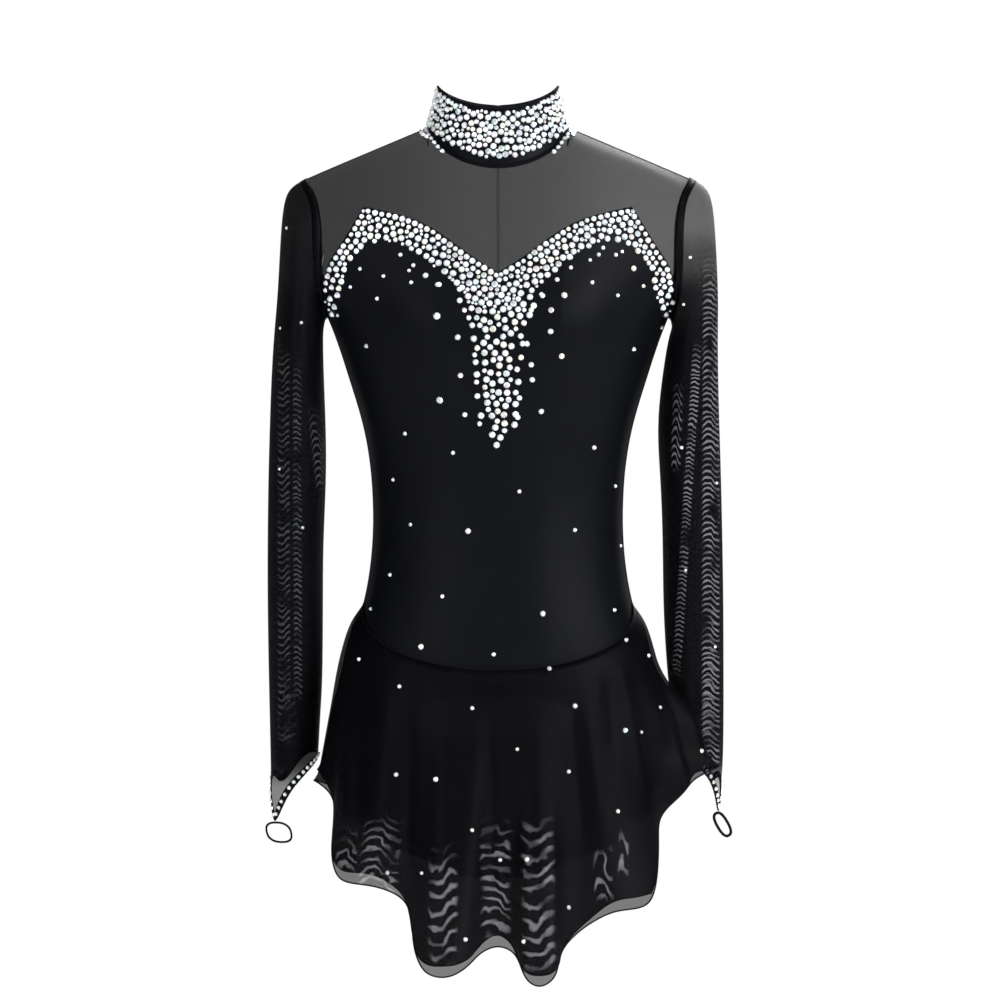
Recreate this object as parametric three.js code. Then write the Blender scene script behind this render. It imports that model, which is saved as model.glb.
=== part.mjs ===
// Figure skating dress, filled out as worn, with no wearer inside. Millimetres, +Z up, front towards -Y.
// The origin lies on the centre line, inside the neck, where the wearer holds the dress up.
import * as THREE from 'three';

// Cloth and seams
const WALL = 1.2;
const SEAM = 0.3;
const ARMHOLE_SEAM = 0.8;

// Shoulders and armholes
const TIP_X = 181;
const TIP_Z = -28;
const UNDERARM_Z = -157;
const ARM_Z = (TIP_Z + UNDERARM_Z) / 2;
const ARM_TALL = (TIP_Z - UNDERARM_Z) / 2;
const ARM_DEEP = 55;
const SQUARE = 2.2;
const SHOULDER_SOFT = 0.075;

// Neck ring and collar
const NECK_X = 68;
const NECK_FRONT = 58;
const NECK_BACK = 56;
const NECK_U = NECK_X / TIP_X;
const NECK_SIDE_Z = 20;
const NECK_DIP = 1.4;
const NECK_FRONT_Z = -18.5;
const NECK_BACK_Z = 8;
const COLLAR_TOP = { half: 57, front: 50, back: 49, frontZ: 38, sideZ: 61, backZ: 43 };
const COLLAR_SLIT = 0.5;
const BUTTON = { radius: 4, tall: 2.6, x: 6, heights: [18, 32] };

// Bust, brief and skirt seam
const CUP = { x: 70, z: -166, wide: 38, tall: 46, rise: 9 };
const LEG_SIDE_Z = -530;
const CROTCH_Z = -625;
const CROTCH_U = NECK_U / 2;
const UNDER_Z = -555;
const SEAM_SIDE_Z = -424;
const SEAM_FRONT_DROP = 63;
const SEAM_BACK_DROP = 35;
const BACK_TOP = { centre: -130, side: -117 };

// Skirt
const HEM = { half: 166, front: 136, back: 150 };
const SIDE_FLARE = 0.55;
const FRONT_FLARE = 0.85;
const FOLD_START = 1.7;
const HEM_STEPS = 2;
const SKIRT_ROWS = 7;
const INNER_SHORTER = 11;
const LAYER_GAP = 3.6;
const HIP_CLEAR = 5;
const SKIRT_LIFT = 3.3;

// Sleeves and finger loops
const CUFF = { left: { inner: -560, drop: 61.3, turn: 18 }, right: { inner: -566, drop: 64.7, turn: 42 } };
const LOOPS = {
  left: { x: 211.3, z: -634.3, y: 17.6, long: 13.6, short: 6.6, lean: -60, slant: 0, thick: 3, wide: 3.4 },
  right: { x: -206, z: -641.5, y: 6.2, long: 12.6, short: 10.4, lean: 0, slant: 3, thick: 2.2, wide: 3.4 },
};

// Body of the leotard: half width, and depth of front and back from the side seam's plane, down the dress
const BODY = [
  { z: 24, half: 181, front: 80, back: 68 },
  { z: -28, half: 181, front: 84, back: 82 },
  { z: -42, half: 173.5, front: 86, back: 86 },
  { z: -57, half: 169.5, front: 89, back: 90 },
  { z: -76, half: 168, front: 92, back: 95 },
  { z: -117, half: 168, front: 99, back: 102 },
  { z: -135, half: 166, front: 102, back: 103 },
  { z: -150, half: 162.3, front: 105, back: 104 },
  { z: -157, half: 159.8, front: 106, back: 104 },
  { z: -165, half: 155.2, front: 107, back: 104 },
  { z: -178, half: 151, front: 107, back: 103 },
  { z: -216, half: 139, front: 101, back: 96 },
  { z: -254, half: 126.8, front: 92, back: 86 },
  { z: -291, half: 119.4, front: 86, back: 79 },
  { z: -340, half: 116, front: 84, back: 76 },
  { z: -385, half: 118, front: 87, back: 82 },
  { z: -425, half: 125, front: 92, back: 94 },
  { z: -480, half: 142, front: 98, back: 106 },
  { z: -520, half: 146, front: 99, back: 110 },
  { z: -560, half: 146, front: 95, back: 106 },
  { z: -625, half: 140, front: 84, back: 92 },
];

// Sweetheart edge across the front, from the centre (0) to the armhole (1)
const SWEETHEART = [
  { u: 0, z: -117.5 },
  { u: 0.125, z: -105 },
  { u: 0.243, z: -90 },
  { u: 0.376, z: -75 },
  { u: 0.485, z: -66 },
  { u: 0.61, z: -60.5 },
  { u: 0.735, z: -55.5 },
  { u: 0.79, z: -68 },
  { u: 0.85, z: -85 },
  { u: 0.917, z: -101.5 },
  { u: 0.965, z: -114 },
  { u: 1, z: -135 },
];

// Sleeve head: outer and inner end of each ring as it turns from the armhole to level
const SLEEVE_HEAD = [
  { outX: 181, outZ: -28, inX: 159.8, inZ: -157, bow: 1 },
  { outX: 189.5, outZ: -32, inX: 160.6, inZ: -157.8, bow: 0.7 },
  { outX: 198, outZ: -40, inX: 161.4, inZ: -159, bow: 0.4 },
  { outX: 201.5, outZ: -62, inX: 162.2, inZ: -160.8, bow: 0.15 },
  { outX: 203.5, outZ: -96, inX: 163, inZ: -163.4, bow: 0 },
  { outX: 205.5, outZ: -138, inX: 163.8, inZ: -167.4, bow: 0 },
];

// Sleeve below the head: outer and inner sides of each sleeve, half depth and middle in Y
const SLEEVE_ARM = [
  { z: -176, rightOut: 210, rightIn: 165.4, leftOut: 205.5, leftIn: 161, deep: 55, y: 1 },
  { z: -216, rightOut: 212.4, rightIn: 164.4, leftOut: 206, leftIn: 154.6, deep: 53, y: 4 },
  { z: -262, rightOut: 214, rightIn: 162.4, leftOut: 207.4, leftIn: 149.8, deep: 50, y: 8 },
  { z: -310, rightOut: 215.4, rightIn: 162, leftOut: 209, leftIn: 153.8, deep: 47, y: 12 },
  { z: -370, rightOut: 216.2, rightIn: 165.4, leftOut: 210.4, leftIn: 156, deep: 45, y: 17 },
  { z: -430, rightOut: 216.2, rightIn: 165.4, leftOut: 211.4, leftIn: 156, deep: 42, y: 21 },
  { z: -490, rightOut: 215.2, rightIn: 165.8, leftOut: 211.5, leftIn: 160, deep: 38.5, y: 24 },
  { z: -540, rightOut: 214, rightIn: 168.6, leftOut: 211.5, leftIn: 166, deep: 36, y: 26 },
  { z: -592, rightOut: 213, rightIn: 172, leftOut: 210, leftIn: 171, deep: 34, y: 27 },
  { z: -634, rightOut: 213, rightIn: 180, leftOut: 205.5, leftIn: 172, deep: 32, y: 27 },
];

// Columns of a sleeve, in degrees round it from the point of its cuff, towards the front first
const SLEEVE_TURNS = [
  0, 12, 24, 42, 62, 82, 102, 122, 142, 162, 180, 198, 218, 238, 258, 278, 298, 318, 336, 348,
];

// Cuff edge: share of the way down to its point, front half and back half
const CUFF_RIM = [
  { turn: 0, share: 1 },
  { turn: 12, share: 0.95 },
  { turn: 24, share: 0.8 },
  { turn: 42, share: 0.58 },
  { turn: 62, share: 0.42 },
  { turn: 82, share: 0.29 },
  { turn: 102, share: 0.18 },
  { turn: 142, share: 0.05 },
  { turn: 180, share: 0 },
  { turn: 218, share: 0.02 },
  { turn: 258, share: 0.12 },
  { turn: 278, share: 0.2 },
  { turn: 298, share: 0.32 },
  { turn: 318, share: 0.5 },
  { turn: 336, share: 0.75 },
  { turn: 348, share: 0.94 },
  { turn: 360, share: 1 },
];

// Hem of the skirt: a row for each fold, anticlockwise seen from above, with its place on the seam in degrees
const FOLDS = [
  { x: 0, y: -128, z: -744, turn: 0 },
  { x: 17, y: -138, z: -752, turn: 6 },
  { x: 25, y: -158, z: -773, turn: 10 },
  { x: 39, y: -164, z: -781, turn: 14 },
  { x: 54, y: -158, z: -771, turn: 19 },
  { x: 59, y: -138, z: -748, turn: 24 },
  { x: 80, y: -124, z: -727, turn: 31 },
  { x: 110, y: -126, z: -711, turn: 41 },
  { x: 143, y: -110, z: -706, turn: 53 },
  { x: 150, y: -86, z: -662, turn: 62 },
  { x: 150, y: -62, z: -632, turn: 68 },
  { x: 157, y: -50, z: -618, turn: 73 },
  { x: 160, y: -38, z: -603, turn: 77 },
  { x: 186, y: -24, z: -591, turn: 84 },
  { x: 147, y: 2, z: -599, turn: 95 },
  { x: 142, y: 40, z: -608, turn: 103 },
  { x: 146, y: 78, z: -623, turn: 113 },
  { x: 120, y: 92, z: -640, turn: 121 },
  { x: 108, y: 130, z: -656, turn: 132 },
  { x: 76, y: 124, z: -668, turn: 143 },
  { x: 44, y: 156, z: -684, turn: 158 },
  { x: 6, y: 134, z: -688, turn: 175 },
  { x: -32, y: 158, z: -688, turn: 192 },
  { x: -64, y: 128, z: -672, turn: 206 },
  { x: -98, y: 138, z: -660, turn: 221 },
  { x: -118, y: 96, z: -642, turn: 235 },
  { x: -146, y: 80, z: -626, turn: 247 },
  { x: -143, y: 40, z: -610, turn: 258 },
  { x: -149, y: 6, z: -601, turn: 266 },
  { x: -173, y: -26, z: -592, turn: 276 },
  { x: -152, y: -50, z: -609, turn: 285 },
  { x: -156, y: -78, z: -655, turn: 294 },
  { x: -148, y: -100, z: -684, turn: 303 },
  { x: -118, y: -116, z: -688, turn: 315 },
  { x: -84, y: -122, z: -703, turn: 327 },
  { x: -79, y: -138, z: -743, turn: 335 },
  { x: -68, y: -160, z: -768, turn: 342 },
  { x: -46, y: -166, z: -772, turn: 348 },
  { x: -28, y: -156, z: -762, turn: 353 },
  { x: -17, y: -138, z: -751, turn: 357 },
];

const NECK_DEGREES = [0, 15, 30, 45, 60, 75, 90];
const NECK_COLUMNS = NECK_DEGREES.map((degrees) => NECK_U * Math.sin(THREE.MathUtils.degToRad(degrees)));
const FRONT_COLUMNS = [...NECK_COLUMNS, 0.485, 0.61, 0.735, 0.79, 0.85, 0.917, 0.965, 1];
const BACK_COLUMNS = [...NECK_COLUMNS, 0.5, 0.62, 0.74, 0.86, 0.95, 1];
const BODY_LEVELS = [-424, -385, -340, -291, -254, -216, -178, UNDERARM_Z];

const mix = (a, b, t) => a + (b - a) * t;
const clamp = (v, low, high) => Math.min(Math.max(v, low), high);
const radians = THREE.MathUtils.degToRad;

// Value of one column of a table at a place between its rows, along a smooth curve
function read(rows, key, name, at) {
  const way = Math.sign(rows[rows.length - 1][key] - rows[0][key]);
  const last = rows.length - 1;
  if ((at - rows[0][key]) * way <= 0) return rows[0][name];
  if ((at - rows[last][key]) * way >= 0) return rows[last][name];
  let i = 0;
  while ((at - rows[i + 1][key]) * way > 0) i += 1;
  const slope = (k) => {
    const a = rows[Math.max(k - 1, 0)];
    const b = rows[Math.min(k + 1, last)];
    return (b[name] - a[name]) / (b[key] - a[key]);
  };
  const step = rows[i + 1][key] - rows[i][key];
  const t = (at - rows[i][key]) / step;
  const t2 = t * t;
  const t3 = t2 * t;
  return rows[i][name] * (2 * t3 - 3 * t2 + 1)
    + slope(i) * step * (t3 - 2 * t2 + t)
    + rows[i + 1][name] * (3 * t2 - 2 * t3)
    + slope(i + 1) * step * (t3 - t2);
}

// Closed cloth wall between an outer and an inner grid of points; the columns may run all round
function wallMesh(outer, inner, round) {
  const columns = outer.length;
  const rows = outer[0].length;
  const spans = round ? columns : columns - 1;
  const positions = [];
  const index = [];
  [outer, inner].forEach((grid) => {
    grid.forEach((line) => line.forEach((p) => positions.push(p.x, p.y, p.z)));
  });
  const at = (side, i, j) => side * columns * rows + (i % columns) * rows + j;
  const face = (a, b, c, d) => index.push(a, b, c, a, c, d);
  for (let i = 0; i < spans; i += 1) {
    for (let j = 0; j < rows - 1; j += 1) {
      face(at(0, i, j), at(0, i + 1, j), at(0, i + 1, j + 1), at(0, i, j + 1));
      face(at(1, i, j), at(1, i, j + 1), at(1, i + 1, j + 1), at(1, i + 1, j));
    }
    face(at(0, i, 0), at(1, i, 0), at(1, i + 1, 0), at(0, i + 1, 0));
    face(at(0, i, rows - 1), at(0, i + 1, rows - 1), at(1, i + 1, rows - 1), at(1, i, rows - 1));
  }
  if (!round) {
    const end = columns - 1;
    for (let j = 0; j < rows - 1; j += 1) {
      face(at(0, 0, j), at(0, 0, j + 1), at(1, 0, j + 1), at(1, 0, j));
      face(at(0, end, j), at(1, end, j), at(1, end, j + 1), at(0, end, j + 1));
    }
  }
  const geometry = new THREE.BufferGeometry();
  geometry.setAttribute('position', new THREE.Float32BufferAttribute(positions, 3));
  geometry.setIndex(index);
  if (volumeOf(geometry) < 0) {
    const turned = [];
    for (let k = 0; k < index.length; k += 3) turned.push(index[k], index[k + 2], index[k + 1]);
    geometry.setIndex(turned);
  }
  geometry.computeVertexNormals();
  return geometry;
}

function volumeOf(geometry) {
  const p = geometry.getAttribute('position');
  const index = geometry.getIndex();
  const [a, b, c] = [new THREE.Vector3(), new THREE.Vector3(), new THREE.Vector3()];
  let sum = 0;
  for (let k = 0; k < index.count; k += 3) {
    a.fromBufferAttribute(p, index.getX(k));
    b.fromBufferAttribute(p, index.getX(k + 1));
    c.fromBufferAttribute(p, index.getX(k + 2));
    sum += a.dot(b.cross(c));
  }
  return sum / 6;
}

// Grid moved along its own normals; the outward side is the one that the way function points to
function moved(grid, distance, round, outward) {
  const columns = grid.length;
  const rows = grid[0].length;
  return grid.map((line, i) => line.map((p, j) => {
    const before = round ? grid[(i + columns - 1) % columns] : grid[Math.max(i - 1, 0)];
    const after = round ? grid[(i + 1) % columns] : grid[Math.min(i + 1, columns - 1)];
    const across = after[j].clone().sub(before[j]);
    const along = line[Math.min(j + 1, rows - 1)].clone().sub(line[Math.max(j - 1, 0)]);
    const normal = across.cross(along).normalize().multiplyScalar(outward);
    return p.clone().addScaledVector(normal, typeof distance === 'function' ? distance(j) : distance);
  }));
}

// Height of the shoulder seam or the neck ring over a place across the body
function topHeight(u, side) {
  const a = Math.abs(u);
  if (a >= NECK_U) return mix(NECK_SIDE_Z, TIP_Z, (a - NECK_U) / (1 - NECK_U));
  const low = side < 0 ? NECK_FRONT_Z : NECK_BACK_Z;
  return mix(NECK_SIDE_Z, low, (1 - (a / NECK_U) ** 2) ** (NECK_DIP / 2));
}

function armholeDepth(z) {
  return ARM_DEEP * Math.sqrt(Math.max(0, 1 - ((z - ARM_Z) / ARM_TALL) ** 2));
}

// Share of the way down the rounding under the shoulder seam or the neck ring, 0 at the top and 1 below it
function shoulderShare(a, z, side) {
  return clamp((topHeight(a, side) - z) / mix(100, ARM_TALL, a * a), 0, 1);
}

// Depth of the body's surface at a share across (0 centre, 1 edge)
function bodyDepth(a, z, side) {
  const half = read(BODY, 'z', 'half', z);
  const centre = read(BODY, 'z', side < 0 ? 'front' : 'back', z);
  let edge = 0;
  if (z > UNDERARM_Z) edge = z > ARM_Z ? ARM_DEEP : armholeDepth(z);
  const reach = (1 - (edge / centre) ** SQUARE) ** (1 / SQUARE);
  let deep = centre * Math.max(0, 1 - (a * reach) ** SQUARE) ** (1 / SQUARE);
  if (side < 0) {
    const across = (half * a - CUP.x) / CUP.wide;
    const up = (z - CUP.z) / CUP.tall;
    deep += CUP.rise * Math.exp(-across * across - up * up) * (1 - a ** 6);
  }
  if (z < UNDER_Z) deep *= Math.sqrt(Math.max(0, 1 - ((UNDER_Z - z) / (UNDER_Z - CROTCH_Z)) ** 2));
  const t = shoulderShare(a, z, side);
  if (t < 1) {
    const neck = side < 0 ? NECK_FRONT : NECK_BACK;
    const spread = Math.min(1, 2.5 * t);
    const start = neck * Math.max(0, 1 - (a / mix(NECK_U, 0.85, spread)) ** 2) ** mix(0.5, 2.5, spread);
    const round = clamp(a / 0.45, 0, 1);
    deep = start + (deep - start) * (1 - (1 - t) ** mix(1.6, 2, round)) ** mix(1, 0.5, round);
  }
  return deep;
}

// Point of the body's outer surface: u across (-1 to 1 between the edges), height z, side -1 front or 1 back
function bodyPoint(u, z, side) {
  const a = Math.abs(u);
  const t = shoulderShare(a, z, side);
  const spread = SHOULDER_SOFT * Math.min(1, 6 * t * (1 - t)) * (1 - a ** 4);
  const shares = [1, 4, 6, 4, 1];
  const deep = shares.reduce((sum, share, k) => {
    const near = Math.min(1, Math.abs(a + (k - 2) * spread));
    return sum + (share / 16) * bodyDepth(near, z, side);
  }, 0);
  return new THREE.Vector3(read(BODY, 'z', 'half', z) * u, side * deep, z);
}

function bodyNormal(u, z, side) {
  const phi = Math.asin(clamp(u, -1, 1));
  const turn = 0.01;
  const u0 = Math.sin(Math.max(phi - turn, -Math.PI / 2));
  const u1 = Math.sin(Math.min(phi + turn, Math.PI / 2));
  const up = z > UNDERARM_Z ? Math.min(1, Math.max(topHeight(u, side) - z, 0)) : 0;
  const across = bodyPoint(u1, z, side).sub(bodyPoint(u0, z, side));
  const along = bodyPoint(u, z + up, side).sub(bodyPoint(u, z - 1, side));
  return across.cross(along).normalize().multiplyScalar(-side);
}

// Panel of the body between a bottom and a top line, kept on its own side of the side and shoulder seams
function bodyPanel(us, side, levels, limit) {
  const keep = (p) => {
    p.y = side < 0 ? Math.min(p.y, -SEAM / 2) : Math.max(p.y, SEAM / 2);
    return limit ? limit(p) : p;
  };
  const outer = us.map((u) => levels(u).map((z) => keep(bodyPoint(u, z, side))));
  const inner = us.map((u) => levels(u).map((z) => {
    const normal = bodyNormal(u, z, side);
    return keep(bodyPoint(u, z, side).addScaledVector(normal, -WALL));
  }));
  return wallMesh(outer, inner, false);
}

function bothSides(list) {
  return [...list.slice(1).map((u) => -u).reverse(), ...list];
}

// Heights of a leotard column, from the leg line or crotch up to the top edge
function leotardLevels(u, topEdge) {
  const a = Math.abs(u);
  const open = clamp((1 - a) / (1 - CROTCH_U), 0, 1);
  const leg = mix(LEG_SIDE_Z, CROTCH_Z + 0.02, a <= CROTCH_U ? 1 : open ** 1.2);
  const steps = 5;
  const low = Array.from({ length: steps }, (_, k) => mix(leg, BODY_LEVELS[0], (k / steps) ** 1.5));
  const high = [0.2, 0.5, 1].map((t) => mix(UNDERARM_Z, topEdge, t));
  return [...low, ...BODY_LEVELS, ...high];
}

const sweetheart = (u) => read(SWEETHEART, 'u', 'z', Math.abs(u));
const backEdge = (u) => mix(BACK_TOP.centre, BACK_TOP.side, u * u);

function yokeLevels(u, bottom, side) {
  const top = topHeight(u, side) - (Math.abs(u) < NECK_U ? SEAM : 0);
  return [0, 0.2, 0.42, 0.62, 0.79, 0.91, 1].map((t) => mix(bottom + SEAM, top, t));
}

function leotardFront() {
  return bodyPanel(bothSides(FRONT_COLUMNS), -1, (u) => leotardLevels(u, sweetheart(u)));
}

function leotardBack() {
  return bodyPanel(bothSides(BACK_COLUMNS), 1, (u) => leotardLevels(u, backEdge(u)));
}

function yokeFront() {
  return bodyPanel(bothSides(FRONT_COLUMNS), -1, (u) => yokeLevels(u, sweetheart(u), -1));
}

function yokeBack(way) {
  const us = BACK_COLUMNS.map((u) => u * way);
  const slit = (p) => {
    p.x = way * Math.max(way * p.x, COLLAR_SLIT);
    return p;
  };
  return bodyPanel(us, 1, (u) => yokeLevels(u, backEdge(u), 1), slit);
}

// Point of the collar: angle from the front centre, and height share from the base seam to the top edge
function collarPoint(angle, v) {
  const s = Math.sin(angle);
  const c = Math.cos(angle);
  const front = c > 0;
  const low = front ? NECK_FRONT_Z : NECK_BACK_Z;
  const high = front ? COLLAR_TOP.frontZ : COLLAR_TOP.backZ;
  const deepLow = front ? NECK_FRONT : NECK_BACK;
  const deepHigh = front ? COLLAR_TOP.front : COLLAR_TOP.back;
  const dip = Math.abs(c) ** NECK_DIP;
  const base = mix(NECK_SIDE_Z, low, dip) + SEAM;
  const top = mix(COLLAR_TOP.sideZ, high, dip);
  const pull = v ** 0.8;
  return new THREE.Vector3(
    mix(NECK_X, COLLAR_TOP.half, pull) * s,
    -mix(deepLow, deepHigh, pull) * c,
    mix(base, top, v),
  );
}

function collar() {
  const slit = THREE.MathUtils.radToDeg(COLLAR_SLIT / NECK_BACK);
  const half = [...NECK_DEGREES, ...NECK_DEGREES.slice(1, -1).map((d) => 180 - d).reverse(), 180 - slit];
  const outer = bothSides(half).map((d) => [0, 0.33, 0.67, 1].map((v) => collarPoint(radians(d), v)));
  const inner = outer.map((line) => line.map((p) => {
    const flat = new THREE.Vector3(p.x, p.y, 0).normalize();
    return p.clone().addScaledVector(flat, -WALL);
  }));
  return wallMesh(outer, inner, false);
}

// Button on the back of the collar, its axis pointing out
function button(height) {
  const angle = Math.PI - BUTTON.x / NECK_BACK;
  const low = collarPoint(angle, 0).z;
  const v = (height - low) / (collarPoint(angle, 1).z - low);
  const seat = collarPoint(angle, v);
  const out = collarPoint(angle, v + 0.1).sub(collarPoint(angle, v - 0.1));
  const side = collarPoint(angle + 0.05, v).sub(collarPoint(angle - 0.05, v));
  const normal = side.cross(out).normalize();
  if (normal.y < 0) normal.negate();
  const r = BUTTON.radius;
  const profile = [[0, 0], [r * 0.62, 0], [r * 0.9, 0.5], [r, 1.2], [r * 0.8, 2.1], [0, BUTTON.tall]];
  const geometry = new THREE.LatheGeometry(profile.map(([x, y]) => new THREE.Vector2(x, y)), 16);
  const turn = new THREE.Quaternion().setFromUnitVectors(new THREE.Vector3(0, 1, 0), normal);
  geometry.applyQuaternion(turn);
  seat.addScaledVector(normal, SEAM + 0.15);
  geometry.translate(seat.x, seat.y, seat.z);
  return geometry;
}

// Outer surface of a sleeve as rings; angle 0 is the outer side, a quarter turn on is the front
function sleeveGrid(name, sign) {
  const arm = (key, z) => read(SLEEVE_ARM, 'z', key, z);
  const cuff = CUFF[name];
  const shares = [0.3, 0.55, 0.78, 1];
  return SLEEVE_TURNS.map((turn) => {
    const angle = radians(turn + cuff.turn);
    const s = Math.sin(angle);
    const c = Math.cos(angle);
    const rings = SLEEVE_HEAD.map((row, k) => {
      const backward = k / SLEEVE_HEAD.length;
      const x = mix(row.inX, row.outX, (1 + c) / 2);
      const z = mix(row.inZ, row.outZ, (1 + c) / 2);
      const armZ = ARM_Z + ARM_TALL * c;
      const straight = mix(SLEEVE_HEAD[0].inX, SLEEVE_HEAD[0].outX, (1 + c) / 2);
      const bow = (read(BODY, 'z', 'half', armZ) - straight) * row.bow;
      return new THREE.Vector3(sign * (x + bow + ARMHOLE_SEAM), -ARM_DEEP * s + backward, z);
    });
    const level = (z) => {
      const out = arm(`${name}Out`, z);
      const inside = arm(`${name}In`, z);
      const x = mix(inside, out, (1 + c) / 2);
      return new THREE.Vector3(sign * x, arm('y', z) - arm('deep', z) * s, z);
    };
    const rim = cuff.inner - cuff.drop * read(CUFF_RIM, 'turn', 'share', turn);
    const last = -490;
    const rows = SLEEVE_ARM.filter((row) => row.z >= last).map((row) => row.z);
    return [...rings, ...rows.map(level), ...shares.map((t) => level(mix(last, rim, t)))];
  });
}

function sleeve(name, sign) {
  const outer = sleeveGrid(name, sign);
  return wallMesh(outer, moved(outer, WALL, true, sign), true);
}

// Elastic loop under the point of a cuff: a closed rounded ring with a flat section
function fingerLoop({ x, z, y, long, short, lean, slant, thick, wide }) {
  const count = 24;
  const tilt = radians(lean);
  const round = (v) => Math.sign(v) * Math.abs(v) ** 0.8;
  const place = (angle, grow, side) => {
    const a = round(Math.cos(angle)) * (long + grow) - slant * Math.sin(angle);
    const b = round(Math.sin(angle)) * (short + grow);
    return new THREE.Vector3(
      x + a * Math.cos(tilt) - b * Math.sin(tilt),
      y + side,
      z + a * Math.sin(tilt) + b * Math.cos(tilt),
    );
  };
  const ring = (grow) => Array.from({ length: count }, (_, i) => {
    const angle = (i / count) * Math.PI * 2;
    return [-wide / 2, wide / 2].map((side) => place(angle, grow, side));
  });
  return wallMesh(ring(0), ring(-thick), true);
}

// Place on the hem between the folds, along a smooth closed curve
function hemPoint(at) {
  const count = FOLDS.length;
  const i = Math.floor(at);
  const t = at - i;
  const row = (k) => {
    const source = FOLDS[((k % count) + count) % count];
    return { ...source, turn: source.turn + 360 * Math.floor(k / count) };
  };
  const rows = [row(i - 1), row(i), row(i + 1), row(i + 2)];
  const curve = (name) => {
    const [a, b, c, d] = rows.map((r) => r[name]);
    const bend = (2 * a - 5 * b + 4 * c - d) * t * t + (3 * b - a - 3 * c + d) * t * t * t;
    return b + 0.5 * ((c - a) * t + bend);
  };
  return { x: curve('x'), y: curve('y'), z: curve('z'), turn: radians(curve('turn')) };
}

// Keeps the skirt outside the hips, by a distance that grows below the seam
function clearOfHips(p, clear) {
  const half = read(BODY, 'z', 'half', p.z);
  const deep = read(BODY, 'z', p.y < 0 ? 'front' : 'back', p.z);
  const e = (Math.abs(p.x / half) ** SQUARE + Math.abs(p.y / deep) ** SQUARE) ** (1 / SQUARE);
  const need = 1 + clear / Math.hypot(half * p.x, deep * p.y) * Math.hypot(p.x, p.y);
  if (e < need) {
    p.x *= need / e;
    p.y *= need / e;
  }
  return p;
}

// Outer face of the outer skirt layer, from the seam to the hem
function skirtGrid(shorter) {
  return Array.from({ length: FOLDS.length * HEM_STEPS }, (_, i) => {
    const hem = hemPoint(i / HEM_STEPS);
    const s = Math.sin(hem.turn);
    const c = Math.cos(hem.turn);
    const side = c > 0 ? -1 : 1;
    const drop = c > 0 ? SEAM_FRONT_DROP : SEAM_BACK_DROP;
    const seamZ = SEAM_SIDE_Z - drop * Math.abs(c);
    const seam = bodyPoint(s, seamZ, side);
    seam.addScaledVector(bodyNormal(s, seamZ, side), SKIRT_LIFT);
    const evenX = HEM.half * s;
    const evenY = -(c > 0 ? HEM.front : HEM.back) * c;
    const flare = mix(FRONT_FLARE, SIDE_FLARE, s * s);
    const length = seam.z - hem.z;
    return Array.from({ length: SKIRT_ROWS + 1 }, (_, j) => {
      const v = (j / SKIRT_ROWS) ** 1.15 * (1 - shorter / length);
      const even = v ** flare;
      const fold = v ** FOLD_START;
      const p = new THREE.Vector3(
        seam.x + (evenX - seam.x) * even + (hem.x - evenX) * fold,
        seam.y + (evenY - seam.y) * even + (hem.y - evenY) * fold,
        mix(seam.z, hem.z, v),
      );
      return j ? clearOfHips(p, SKIRT_LIFT + HIP_CLEAR * Math.min(1, v / 0.12)) : p;
    });
  });
}

function skirtOuter() {
  const outer = skirtGrid(0);
  return wallMesh(outer, moved(outer, WALL, true, 1), true);
}

function skirtInner() {
  const base = skirtGrid(INNER_SHORTER);
  const gap = (j) => WALL + SEAM + LAYER_GAP * Math.min(1, (2 * j) / SKIRT_ROWS);
  const outer = moved(base, gap, true, 1);
  const inner = moved(base, (j) => gap(j) + WALL, true, 1);
  return wallMesh(outer, inner, true);
}

const dress = new THREE.Group();

function add(name, geometry, color, roughness) {
  const material = new THREE.MeshStandardMaterial({ color, roughness, metalness: 0, name: `${name}_material` });
  const mesh = new THREE.Mesh(geometry, material);
  mesh.name = name;
  dress.add(mesh);
}

add('collar', collar(), 0x1b1b1f, 0.6);
add('yoke_front', yokeFront(), 0x4a4d4c, 0.75);
add('yoke_back_left', yokeBack(1), 0x4a4d4c, 0.75);
add('yoke_back_right', yokeBack(-1), 0x4a4d4c, 0.75);
add('leotard_front', leotardFront(), 0x17171b, 0.6);
add('leotard_back', leotardBack(), 0x17171b, 0.6);
add('sleeve_left', sleeve('left', 1), 0x202126, 0.75);
add('sleeve_right', sleeve('right', -1), 0x202126, 0.75);
add('finger_loop_left', fingerLoop(LOOPS.left), 0x101012, 0.6);
add('finger_loop_right', fingerLoop(LOOPS.right), 0x101012, 0.6);
add('skirt_outer', skirtOuter(), 0x141418, 0.7);
add('skirt_inner', skirtInner(), 0x141418, 0.7);
BUTTON.heights.forEach((height, i) => add(`button_${i + 1}`, button(height), 0x101012, 0.35));

export default dress;
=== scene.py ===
"""Figure skating dress: its cloth, seams, hems and crystals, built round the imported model."""

import math
import random
from functools import partial

import bmesh
import bpy
from mathutils import Matrix, Vector
from mathutils.bvhtree import BVHTree
from mathutils.kdtree import KDTree


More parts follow.
